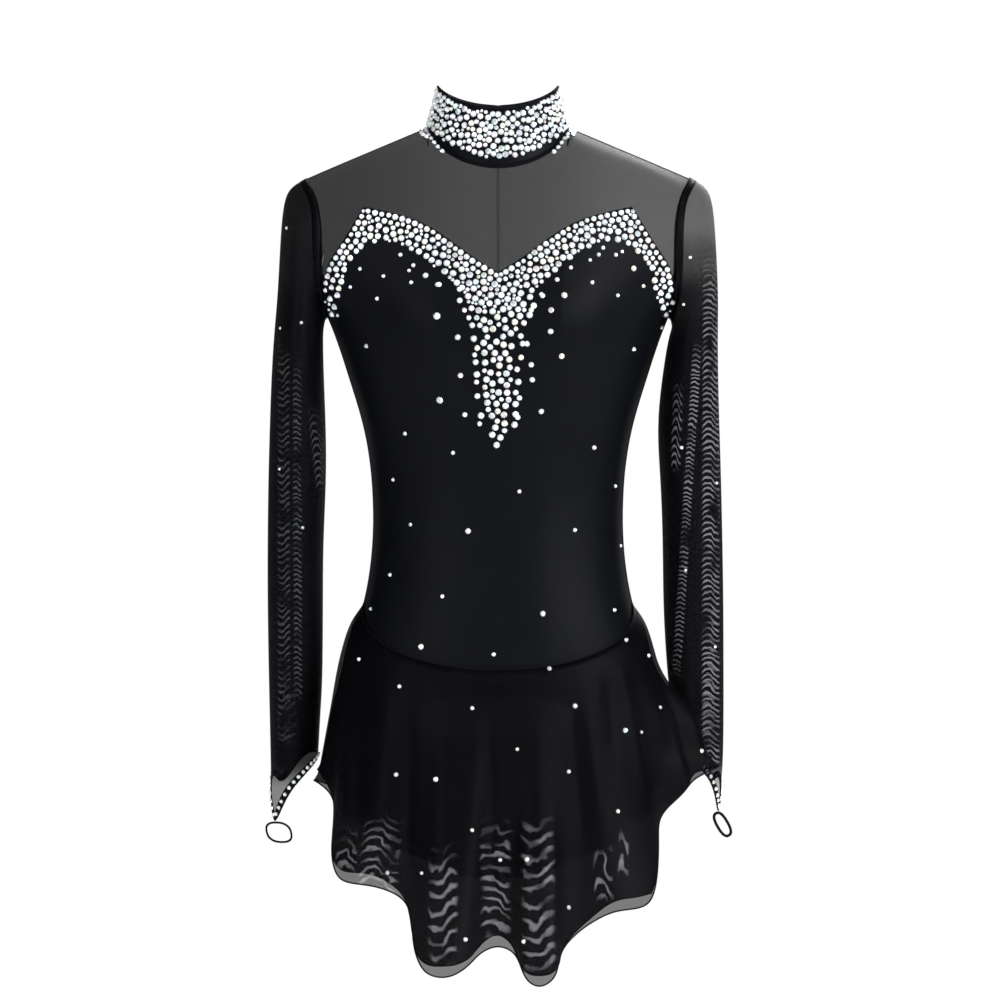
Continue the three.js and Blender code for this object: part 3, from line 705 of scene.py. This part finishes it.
# Creases: side (-1 front, 1 back), start and end (x, z), width, and depth below 0 or height, in millimetres
BODICE_CREASES = [
    (-1, (-118, -300), (-58, -322), 7, -1.0),
    (-1, (120, -306), (52, -334), 8, -1.2),
    (-1, (-116, -356), (-70, -342), 6, -0.8),
    (-1, (118, -362), (64, -348), 7, -1.0),
    (-1, (-142, -190), (-98, -222), 7, -1.1),
    (-1, (146, -196), (96, -232), 8, -1.2),
    (-1, (-126, -408), (-84, -398), 6, -0.7),
    (-1, (-16, -226), (10, -300), 13, 0.9),
]
BACK_CREASES = [
    (1, (-116, -312), (-30, -336), 8, -1.4),
    (1, (116, -306), (22, -330), 9, -1.5),
    (1, (-114, -352), (-20, -364), 7, -1.1),
    (1, (112, -346), (34, -358), 8, -1.2),
    (1, (-140, -196), (-66, -236), 9, -1.2),
    (1, (142, -190), (78, -230), 9, -1.2),
    (1, (0, -200), (-6, -300), 12, -1.0),
]


def make_leotard():
    pieces = []
    for node, creases in (("leotard_front", BODICE_CREASES), ("leotard_back", BACK_CREASES)):
        piece = make_panel(node, "jersey", JERSEY, JERSEY_THICK)
        press_creases(piece, creases)
        pieces.append(piece)
    return pieces


# Creases of a sleeve: their heights, and where and how far they are deeper, in millimetres
CREASE_HEIGHTS = (-138, -166, -196, -226, -254, -276, -296, -318, -342, -378, -420, -456, -486, -512, -534, -552)
ELBOW, ELBOW_REACH, ELBOW_DEPTH = -300, 44, 2.1
WRIST, WRIST_REACH, WRIST_DEPTH = -532, 36, 1.1
SHALLOWEST = 0.9


def sleeve_creases(side, seed):
    """Slanting creases down a sleeve, deeper at the elbow and above the wrist, uneven as in soft mesh."""
    rng = random.Random(seed)
    creases = []
    for height in CREASE_HEIGHTS:
        at_elbow = math.exp(-(((height - ELBOW) / ELBOW_REACH) ** 2))
        at_wrist = math.exp(-(((height - WRIST) / WRIST_REACH) ** 2))
        for face in (-1, 1):
            depth = -(SHALLOWEST + ELBOW_DEPTH * at_elbow + WRIST_DEPTH * at_wrist) * rng.uniform(0.5, 1.2)
            lean = rng.uniform(8, 30) * rng.choice((-1, 1, 1))
            start, end = sorted((rng.uniform(160, 186), rng.uniform(184, 210)))
            z = height + rng.uniform(-6, 6)
            width = rng.uniform(3, 5.5)
            creases.append((face, (side * start, z + lean / 2), (side * end, z - lean / 2), width, depth))
    return creases


def lower_back_rim(piece, drop):
    """Lets the back edge of a pointed cuff hang lower, closer to its front edge."""
    sideways, reach = 2.3, 40 * MM
    rim = points_of(edge_loops(piece)[0])
    front, back = min(p.y for p in rim), max(p.y for p in rim)
    inside, outside = min(abs(p.x) for p in rim), max(abs(p.x) for p in rim)
    middle, half = (front + back) / 2, (back - front) / 2
    near = finder_of(rim)

    def shift(place, normal):
        point, _, away = near.find(place)
        behind = clamp((point.y - middle) / half + 0.25)
        across = clamp((abs(point.x) - inside) / (outside - inside))
        low = behind * math.sin(math.pi * across ** sideways) * math.exp(-((away / reach) ** 2))
        return Vector((0, 0, -drop * MM * low))

    reshape(piece, shift)


def make_sleeves():
    pieces = {}
    for node, side, seed in (("sleeve_left", 1, 11), ("sleeve_right", -1, 23)):
        piece = make_panel(node, "mesh", SLEEVE_MESH[node], MESH_THICK)
        lower_back_rim(piece, 20)
        press_creases(piece, sleeve_creases(side, seed))
        pieces[node] = piece
    return pieces


SKIRT_CREASES = [
    (-1, (103, -492), (109, -566), 6, -2.6),
    (-1, (117, -490), (137, -600), 5, 2.4),
    (-1, (142, -486), (151, -584), 5, -2.6),
    (-1, (150, -490), (173, -586), 5, 1.8),
    (-1, (69, -530), (79, -640), 8, -2.4),
    (-1, (84, -520), (96, -650), 7, 1.8),
    (-1, (-139, -480), (-148, -620), 5, 2.2),
    (-1, (-128, -500), (-132, -640), 6, -2.4),
    (-1, (-104, -520), (-112, -660), 8, 1.8),
    (-1, (-84, -500), (-88, -680), 9, -2.6),
    (-1, (-52, -520), (-52, -700), 10, 2.0),
    (-1, (-6, -520), (-4, -690), 12, -3.0),
    (-1, (34, -540), (38, -700), 11, 2.2),
    (1, (-116, -470), (-128, -600), 8, -2.2),
    (1, (-72, -480), (-80, -630), 9, 2.0),
    (1, (-44, -490), (-48, -640), 9, -2.6),
    (1, (-8, -480), (4, -640), 10, 2.0),
    (1, (30, -490), (24, -650), 8, -2.4),
    (1, (66, -480), (74, -640), 9, 2.2),
    (1, (98, -470), (112, -610), 8, -2.4),
]


def close_layers(piece, move, top, low):
    """Brings the lower part of the inner skirt layer out towards the outer one."""
    reshape(piece, lambda place, normal: normal * move * MM * ease((top * MM - place.z) / ((top - low) * MM)))


def meet_hems(inner, outer):
    """Brings the inner layer's hem to the outer one where the hem runs steeply, so that a single pale layer is left
    only at the foot of each fold."""
    stride, level, steepness = 3, 0.30, 0.40
    meeting, evened, reach = 0.93, 4, 22 * MM
    outer_hem = points_of(edge_loops(outer)[0])
    hem = points_of(edge_loops(inner)[0])
    count = len(hem)
    moves = []
    for i, point in enumerate(hem):
        along = hem[(i + stride) % count] - hem[i - stride]
        steep = clamp((abs(along.z) / along.length - level) / steepness)
        nearest = min(outer_hem, key=lambda other: (other - point).length_squared)
        moves.append((nearest - point) * meeting * steep)
    span = range(-evened, evened + 1)
    even = [sum((moves[(i + k) % count] for k in span), Vector()) / len(span) for i in range(count)]
    near = finder_of(hem)

    def shift(place, normal):
        _, index, away = near.find(place)
        return even[index] * math.exp(-((away / reach) ** 2))

    reshape(inner, shift)


# The skirt's left side point: how far it swings out, forward and up, and where each starts and over how many
# millimetres it grows or fades
SWING_OUT, SWING_FORWARD, SWING_UP = 22, -11, 12
SWING_TOP, SWING_LOW, SWING_LIFT = (-476, 66), (-604, 36), (-560, 30)
SWING_SIDE, SWING_FRONT, SWING_BACK = (112, 52), (-78, 36), (4, 24)


def flare_side(piece):
    """Swings the skirt's left side point out over the front of the sleeve, as its deep side fold does."""

    def grows(value, edge):
        return ease((value - edge[0]) / edge[1])

    def falls(value, edge):
        return ease((edge[0] - value) / edge[1])

    def shift(place, normal):
        x, y, z = place / MM
        low = falls(z, SWING_TOP) * (1 - falls(z, SWING_LOW))
        side = grows(x, SWING_SIDE) * falls(y, SWING_BACK) * grows(y, SWING_FRONT)
        return Vector((SWING_OUT * low * side, SWING_FORWARD * low * side, SWING_UP * falls(z, SWING_LIFT) * side)) * MM

    reshape(piece, shift)


def hug_waist(piece, pull):
    """Draws the top of a skirt layer in to the body, so that it starts flush at its seam."""
    lowest, reach = -520 * MM, 14 * MM
    seam = points_of(edge_loops(piece)[-1])

    def shift(place, normal):
        if place.z < lowest:
            return Vector()
        below = min((place - p).length for p in seam)
        return normal * -pull * MM * math.exp(-((below / reach) ** 2))

    reshape(piece, shift)


def make_skirt():
    pieces = []
    for node, cloth, pull in (("skirt_outer", SKIRT_MESH, 2.1), ("skirt_inner", LINING_MESH, 0.9)):
        piece = make_panel(node, "mesh", cloth, MESH_THICK)
        press_creases(piece, SKIRT_CREASES)
        flare_side(piece)
        hug_waist(piece, pull)
        pieces.append(piece)
    outer, inner = pieces
    close_layers(inner, 3.6, -470, -540)
    meet_hems(inner, outer)
    return pieces


# ---------------- edges and seams


def make_collar_binding(collar):
    """Thin black binding round the top edge of the collar and down its two ends."""
    side_middle, front_drop, back_drop = 40, 30, 14
    (loop,) = edge_loops(collar)
    high = []
    for point, _, _ in loop:
        share = abs(point.y) / math.hypot(point.x, point.y)
        middle = side_middle - (front_drop if point.y < 0 else back_drop) * share ** COLLAR_CURVE
        high.append(point.z > middle * MM)
    start = next(i for i in range(len(loop)) if high[i] and not high[i - 1])
    line = []
    for k in range(len(loop)):
        index = (start + k) % len(loop)
        if not high[index]:
            break
        line.append(loop[index][0] + loop[index][1] * 0.6 * MM)
    piece = cord_along("collar_binding", line, 1.3 * MM, TRIM, False, 3)


def rolled_edge(name, loop, inward, radius):
    """Closed roll of cloth along an edge, set inward from it; millimetres."""
    return cord_along(name, [p + d * inward * MM for p, d, _ in loop], radius * MM, TRIM, True)


def make_hems(skirts, sleeves):
    for skirt, radius in zip(skirts, (0.75, 0.6)):
        rolled_edge(skirt.name.replace("_mesh", "_hem"), edge_loops(skirt)[0], 0.4, radius)
    for node, sleeve in sleeves.items():
        cuff, head = edge_loops(sleeve)
        rolled_edge(node + "_cuff_edge", cuff, 0.5, 0.8)
        ribbon_along(node + "_cuff_band", cuff, 6.2 * MM, 0.15 * MM, TRIM)
        band = [(p - d * 2.8 * MM, d, n) for p, d, n in head]
        ribbon_along(node + "_armhole_seam", band, 7.6 * MM, 0.4 * MM, DOUBLED_MESH)
        rolled_edge(node + "_armhole_stitching", head, -0.5, 0.75)
    line = [p + n * 0.1 * MM for p, _, n in edge_loops(skirts[0])[-1]]
    cord_along("skirt_seam", line, 0.55 * MM, TRIM, True)


def make_panel_seams(collar, yokes, leotard):
    """Rolled seam on the edge of each panel, where it is sewn to the next one or turned in."""
    for panels, radius in (([collar], 0.7), (yokes, 0.5), (leotard, 0.6)):
        for panel in panels:
            (loop,) = edge_loops(panel)
            rolled_edge(panel.name + "_seam", loop, 0.15, radius)


# ---------------- crystals


STONE_TINTS = [
    (0.93, 0.97, 1.0), (0.95, 0.98, 1.0), (0.88, 0.95, 1.0), (0.82, 0.93, 1.0), (1.0, 0.92, 0.96),
    (0.88, 1.0, 0.95), (1.0, 0.97, 0.86), (0.88, 0.90, 1.0),
]
# Painted reflection: tones of a stone's table facet, standing in for what it reflects
TABLE_PAINTED_REFLECTION = (0.42, 0.7, 0.95, 1.0, 1.0)

# Stone's height and its table's radius as shares of its size, and how deep it sits in the cloth
STONE_HEIGHT = 0.42
TABLE_RADIUS = 0.27
STONE_SUNK = 0.1 * MM


def set_stone(bm, tint_and_facet_light, place, normal, size, rng):
    """Flat-backed faceted stone: a low cone cut off at its table."""
    up = normal.to_track_quat("Z", "Y").to_matrix().to_4x4()
    turn = Matrix.Rotation(rng.uniform(0, math.tau), 4, "Z")
    tall = size * STONE_HEIGHT
    spot = Matrix.Translation(place + normal * (tall / 2 - STONE_SUNK)) @ up @ turn
    made = bmesh.ops.create_cone(
        bm, cap_ends=True, segments=8, radius1=size / 2, radius2=size * TABLE_RADIUS, depth=tall, matrix=spot
    )
    tone = rng.choice(STONE_TINTS)
    glow = rng.uniform(0.86, 1.0)
    table_reflection = rng.choice(TABLE_PAINTED_REFLECTION)
    # Painted light: each side facet gets a random tone and the table one of the listed tones, standing in for the light
    # that the facets catch
    for face in dict.fromkeys(f for v in made["verts"] for f in v.link_faces):
        facet_painted_light = table_reflection if len(face.verts) > 4 else rng.uniform(0.55, 1.0)
        for corner in face.loops:
            corner[tint_and_facet_light] = (*(c * glow * facet_painted_light for c in tone), 1.0)


def stones_piece(name, spots, seed):
    """One joined piece of stones from (place, normal, size)."""
    rng = random.Random(seed)
    bm = bmesh.new()
    # Each corner holds the stone's tint together with its painted facet light
    tint_and_facet_light = bm.loops.layers.float_color.new("tint")
    for place, normal, size in spots:
        set_stone(bm, tint_and_facet_light, place, normal, size, rng)
    new_piece(name, bm, CRYSTAL, smooth=False)


class Packing:
    """Flat region filled with round stones that don't touch; millimetres."""

    cell = 8.0

    def __init__(self, seed):
        self.rng = random.Random(seed)
        self.near = {}
        self.placed = []

    def add(self, x, z, size, gap):
        column, row = int(x // self.cell), int(z // self.cell)
        for i in (-1, 0, 1):
            for j in (-1, 0, 1):
                for a, b, other in self.near.get((column + i, row + j), ()):
                    if math.hypot(x - a, z - b) < (size + other) / 2 + gap:
                        return
        self.near.setdefault((column, row), []).append((x, z, size))
        self.placed.append((x, z, size))

    def throw(self, inside, box, sizes, tries, gap):
        """Drops stones at random into the room that is left, larger ones first."""
        for size, count in zip(sizes, tries):
            for _ in range(count):
                x, z = self.rng.uniform(box[0], box[1]), self.rng.uniform(box[2], box[3])
                if inside(x, z, size, self.rng):
                    self.add(x, z, size, gap)


# Stones of each part: the box that they are thrown into (x from and to, z from and to), their sizes, how many of
# each size are tried, and the gap that they keep, all in millimetres
DROP_STONES = {
    "box": (-36, 36, -282, -150), "sizes": (6.4, 5.8, 5.2, 4.6), "tries": (900, 1500, 2000, 1500), "gap": 0.35,
}
BAND_STONES = {
    "box": (-164, 164, -278, -52), "sizes": (6.5, 6.1, 5.6, 5.0, 4.3, 3.6, 3.0),
    "tries": (4000, 9000, 12000, 14000, 16000, 14000, 9000), "gap": -0.15,
}
LOOSE_STONES = {"box": (-36, 36, -280, -140), "sizes": (6.4, 5.7, 5.0), "tries": (260, 420, 500), "gap": 1.3}
TRAILING_STONES = {"box": (-160, 160, -176, -60), "sizes": (5.6, 4.8, 4.2), "tries": (70, 110, 160), "gap": 3.2}
COLLAR_STONES = {"sizes": (6.2, 5.6, 5.0, 4.4, 3.8, 3.2), "tries": (1600, 4000, 8000, 10000, 12000, 8000), "gap": 0.1}

# Rows along the sweetheart edge, then the ends of the band, the notch, the drop and the stones that trail off
ROW_STONES = (6.3, 6.0, 5.7, 5.3, 4.8)
ROW_JITTER = 0.45
ROW_GAP = -0.1
BAND_END = 164
NOTCH_TOP, NOTCH_LOW = -118, -150
DROP_TOP, DROP_LOW = -148, -280
LOOSE_WIDER, LOOSE_LOW = 9, -262
TRAIL_TOP, TRAIL_LOW, TRAIL_SHARE = 2, 17, 0.75


def edge_rows(packing, first, apart, rows, spacing):
    """Rows of stones beside the sweetheart edge, on both halves of the front."""
    rng = packing.rng
    for k in range(rows):
        offset = first + k * apart
        for half in (-1, 1):
            run = spacing * (0.5 if k % 2 else 0.05)
            for a, b in zip(EDGE, EDGE[1:]):
                dx, dz = b["x"] - a["x"], b["z"] - a["z"]
                long = math.hypot(dx, dz)
                while run < long:
                    x = a["x"] + dx * run / long + dz / long * offset + rng.uniform(-ROW_JITTER, ROW_JITTER)
                    z = a["z"] + dz * run / long - dx / long * offset + rng.uniform(-ROW_JITTER, ROW_JITTER)
                    size = rng.choice(ROW_STONES)
                    if x > 1.5 and in_band(x, z, size, rng):
                        packing.add(half * x, z, size, ROW_GAP)
                    run += spacing
                run -= long


def in_band(x, z, size, rng):
    away = abs(x)
    if away > BAND_END:
        return False
    top = between(EDGE, "x", "z", away) - size * 0.3
    low = between(BAND, "x", "low", away)
    if low + size / 2 <= z <= top:
        return True
    return NOTCH_LOW < z < NOTCH_TOP and away < between(DROP, "z", "half", z) - size / 2 and z < top


def in_drop(x, z, size, rng):
    """Drop of stones under the notch."""
    return DROP_LOW < z < DROP_TOP and abs(x) < between(DROP, "z", "half", z) - size / 2


def loose_drop(x, z, size, rng):
    """Looser stones on both sides of the drop."""
    half = between(DROP, "z", "half", z) + LOOSE_WIDER
    return abs(x) < half - size / 2 and z < between(EDGE, "x", "z", abs(x)) - size and z > LOOSE_LOW


def below_band(x, z, size, rng):
    """A few stones that trail off under the band."""
    low = between(BAND, "x", "low", abs(x))
    return low - TRAIL_LOW < z < low - TRAIL_TOP and rng.random() < TRAIL_SHARE


def front_spots(tree, flat):
    """Drops flat places straight back onto the front of the dress."""
    spots = []
    for x, z, size in flat:
        hit, normal, _, _ = tree.ray_cast(Vector((x * MM, -0.5, z * MM)), Vector((0, 1, 0)))
        if hit is not None:
            spots.append((hit, -normal if normal.y > 0 else normal, size * MM))
    return spots


def make_band_stones(front):
    packing = Packing(5)
    edge_rows(packing, 2.4, 5.9, 2, 6.5)
    packing.throw(in_drop, **DROP_STONES)
    packing.throw(in_band, **BAND_STONES)
    packing.throw(loose_drop, **LOOSE_STONES)
    packing.throw(below_band, **TRAILING_STONES)
    stones_piece("sweetheart_crystals", front_spots(tree_of(front), packing.placed), 6)


# Collar laid flat: its radius, and the height of its foot and top edge at the sides, centre front and centre back
COLLAR_RADIUS = 62.0
FOOT = (20, -18.5, 8)
TOP_EDGE = (61, 38, 43)
FOOT_STRIP = (1.0, 8.0, 8.0)
BINDING_STRIP = 2.4

# Rows of stones on the yoke beside the collar's foot: distance from the neck's middle and first angle
NECK_ROWS = ((67.5, 50), (73.0, 68))
NECK_ROW_END, NECK_ROW_STEP = 112, 6
NECK_STONE = 5.0


def collar_height(angle, side, front, back):
    """Height of one of the collar's edges at an angle from the centre front."""
    middle = front if math.cos(angle) > 0 else back
    return side + (middle - side) * abs(math.cos(angle)) ** COLLAR_CURVE


def neck_base_spots(yokes):
    """Crystals that run on from the collar's foot over the neck ends of the shoulder seams."""
    tree = tree_of(*yokes)
    side, front, _ = FOOT
    spots = []
    for half in (-1, 1):
        for reach, first in NECK_ROWS:
            for turn in range(first, NECK_ROW_END, NECK_ROW_STEP):
                angle = math.radians(turn)
                height = collar_height(angle, side, front, front)
                aim = Vector((half * math.sin(angle) * reach, -math.cos(angle) * reach, height)) * MM
                hit, normal, _, _ = tree.find_nearest(aim)
                spots.append((hit, -normal if normal.z < 0 else normal, NECK_STONE * MM))
    return spots


def on_collar(run, height, size, rng):
    """Between the binding and the plain strip at the foot, clear of the closing at the centre back."""
    angle = run / COLLAR_RADIUS
    low = collar_height(angle, *FOOT) + collar_height(angle, *FOOT_STRIP)
    high = collar_height(angle, *TOP_EDGE) - BINDING_STRIP
    if angle > math.pi - 0.26 or angle < 0.12 - math.pi:
        return False
    return low + size / 2 < height < high - size / 2


def make_collar_stones(collar, yokes):
    """Crystals all over the collar."""
    tree = tree_of(collar)
    reach = COLLAR_RADIUS * (math.pi - 0.03)
    packing = Packing(8)
    packing.throw(on_collar, box=(-reach, reach, -14, 60), **COLLAR_STONES)
    spots = []
    for run, height, size in packing.placed:
        angle = run / COLLAR_RADIUS
        way = Vector((math.sin(angle), -math.cos(angle), 0))
        hit, normal, _, _ = tree.ray_cast(way * 0.12 + Vector((0, 0, height * MM)), -way)
        if hit is not None:
            spots.append((hit, -normal if normal.dot(way) < 0 else normal, size * MM))
    stones_piece("collar_crystals", spots + neck_base_spots(yokes), 9)


def make_cuff_stones(sleeves):
    """A row of crystals round each cuff, just above its edge."""
    spacing, above_edge, size = 5.6 * MM, 3.4 * MM, 4.4 * MM
    spots = []
    for sleeve in sleeves.values():
        cuff = edge_loops(sleeve)[0]
        run = 0.0
        last = cuff[-1][0]
        for point, inward, normal in cuff:
            run += (point - last).length
            last = point
            if run >= spacing:
                run = 0.0
                spots.append((point + inward * above_edge + normal * STONE_SUNK, normal, size))
    stones_piece("cuff_crystals", spots, 15)


# ---------------- loops and buttons


def dress_small_nodes():
    for node in ("finger_loop_left", "finger_loop_right"):
        piece = smoothed(node + "_elastic", whole_solid(node), ELASTIC, 1)
        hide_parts(node)
    for node in ("button_1", "button_2"):
        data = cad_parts[node].data
        data.materials.clear()
        data.materials.append(BUTTON)


def make_button_loops():
    """Elastic loop round each collar button, from the other side of the slit."""
    radius, leg_high, legs = 4.6 * MM, 4.3 * MM, ((8.6, 0.2), (4.0, 0.0))
    for node in ("button_1", "button_2"):
        points = [v.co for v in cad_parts[node].data.vertices]
        middle = sum(points, Vector()) / len(points)
        out = Vector((middle.x, middle.y, 0.12 * middle.y)).normalized()
        up = (Vector((0, 0, 1)) - out * out.z).normalized()
        side = up.cross(out)
        if side.x < 0:
            side = -side
        seat = middle - out * 0.9 * MM
        arc = [math.radians(a) for a in range(-96, 97, 16)]
        line = [seat + side * math.cos(a) * radius + up * math.sin(a) * radius for a in arc]
        low = [seat - side * reach * MM - up * leg_high - out * drop * MM for reach, drop in legs]
        high = [seat - side * reach * MM + up * leg_high - out * drop * MM for reach, drop in legs[::-1]]
        piece = cord_along(node + "_loop", [*low, *line, *high], 0.55 * MM, ELASTIC, False)


# ---------------- floor, light and camera

# Place, size and power of each soft light, and the point that they face
LIGHTS = table(
    "name place size power",
    ("key light", (2.3, -2.0, 1.1), 1.0, 150.0),
    ("fill light", (-1.8, -2.8, 0.7), 1.6, 62.0),
    ("rim light", (0.9, 2.6, 1.2), 1.4, 80.0),
)
LIT_POINT = Vector((0, 0, -0.35))


def add_object(name, data):
    made = bpy.data.objects.new(name, data)
    bpy.context.scene.collection.objects.link(made)
    return made


def make_backdrop():
    """White where the camera sees it, and dim where it lights the dress."""
    world = bpy.data.worlds.new("studio")
    bpy.context.scene.world = world
    world.use_nodes = True
    tree = world.node_tree
    backdrop = tree.nodes["Background"]
    backdrop.inputs["Color"].default_value = (1.0, 1.0, 1.0, 1.0)
    seen = math_node(tree, "MULTIPLY", new_node(tree, "LightPath", {})["Is Camera Ray"], 1.0 - ROOM_LIGHT)
    tree.links.new(math_node(tree, "ADD", seen, ROOM_LIGHT), backdrop.inputs["Strength"])


def make_floor():
    bm = bmesh.new()
    place = Matrix.Translation((0, 0, FLOOR_Z))
    bmesh.ops.create_circle(bm, cap_ends=True, segments=64, radius=FLOOR_RADIUS, matrix=place)
    data = bpy.data.meshes.new("floor")
    bm.to_mesh(data)
    bm.free()
    material, tree, shader, place = new_material("pale floor")
    tint = mix_color(tree, noise_node(tree, place, 3.0), (0.88, 0.88, 0.88), (0.93, 0.93, 0.93))
    set_inputs(tree, shader, {"Base Color": tint, "Emission Color": tint, "Emission Strength": 0.55, "Roughness": 0.9})
    data.materials.append(material)
    add_object("floor", data)


def make_lights():
    for row in LIGHTS:
        lamp = bpy.data.lights.new(row["name"], "AREA")
        lamp.size = row["size"]
        lamp.energy = row["power"]
        light = add_object(row["name"], lamp)
        light.location = row["place"]
        light.rotation_euler = (LIT_POINT - Vector(row["place"])).to_track_quat("-Z", "Y").to_euler()
    bpy.context.scene.view_settings.view_transform = "Standard"


def make_camera():
    lens = bpy.data.cameras.new("camera")
    lens.sensor_width = SENSOR
    lens.lens = SENSOR * CAMERA_AWAY / PICTURE_WIDTH
    camera = add_object("camera", lens)
    camera.location = PICTURE_CENTRE + Vector((0, -CAMERA_AWAY, 0))
    camera.rotation_euler = (math.radians(90), 0, 0)
    bpy.context.scene.camera = camera


make_camera()
make_backdrop()
make_floor()
make_lights()
collar_band = make_panel("collar", "band", JERSEY, COLLAR_THICK)
yokes = make_yokes()
leotard = make_leotard()
sleeves = make_sleeves()
skirts = make_skirt()
make_collar_binding(collar_band)
make_hems(skirts, sleeves)
make_panel_seams(collar_band, yokes, leotard)
make_band_stones(leotard[0])
make_collar_stones(collar_band, yokes)
stones_piece("scattered_crystals", front_spots(tree_of(leotard[0], skirts[0], *sleeves.values()), SCATTER), 12)
make_cuff_stones(sleeves)
dress_small_nodes()
make_button_loops()
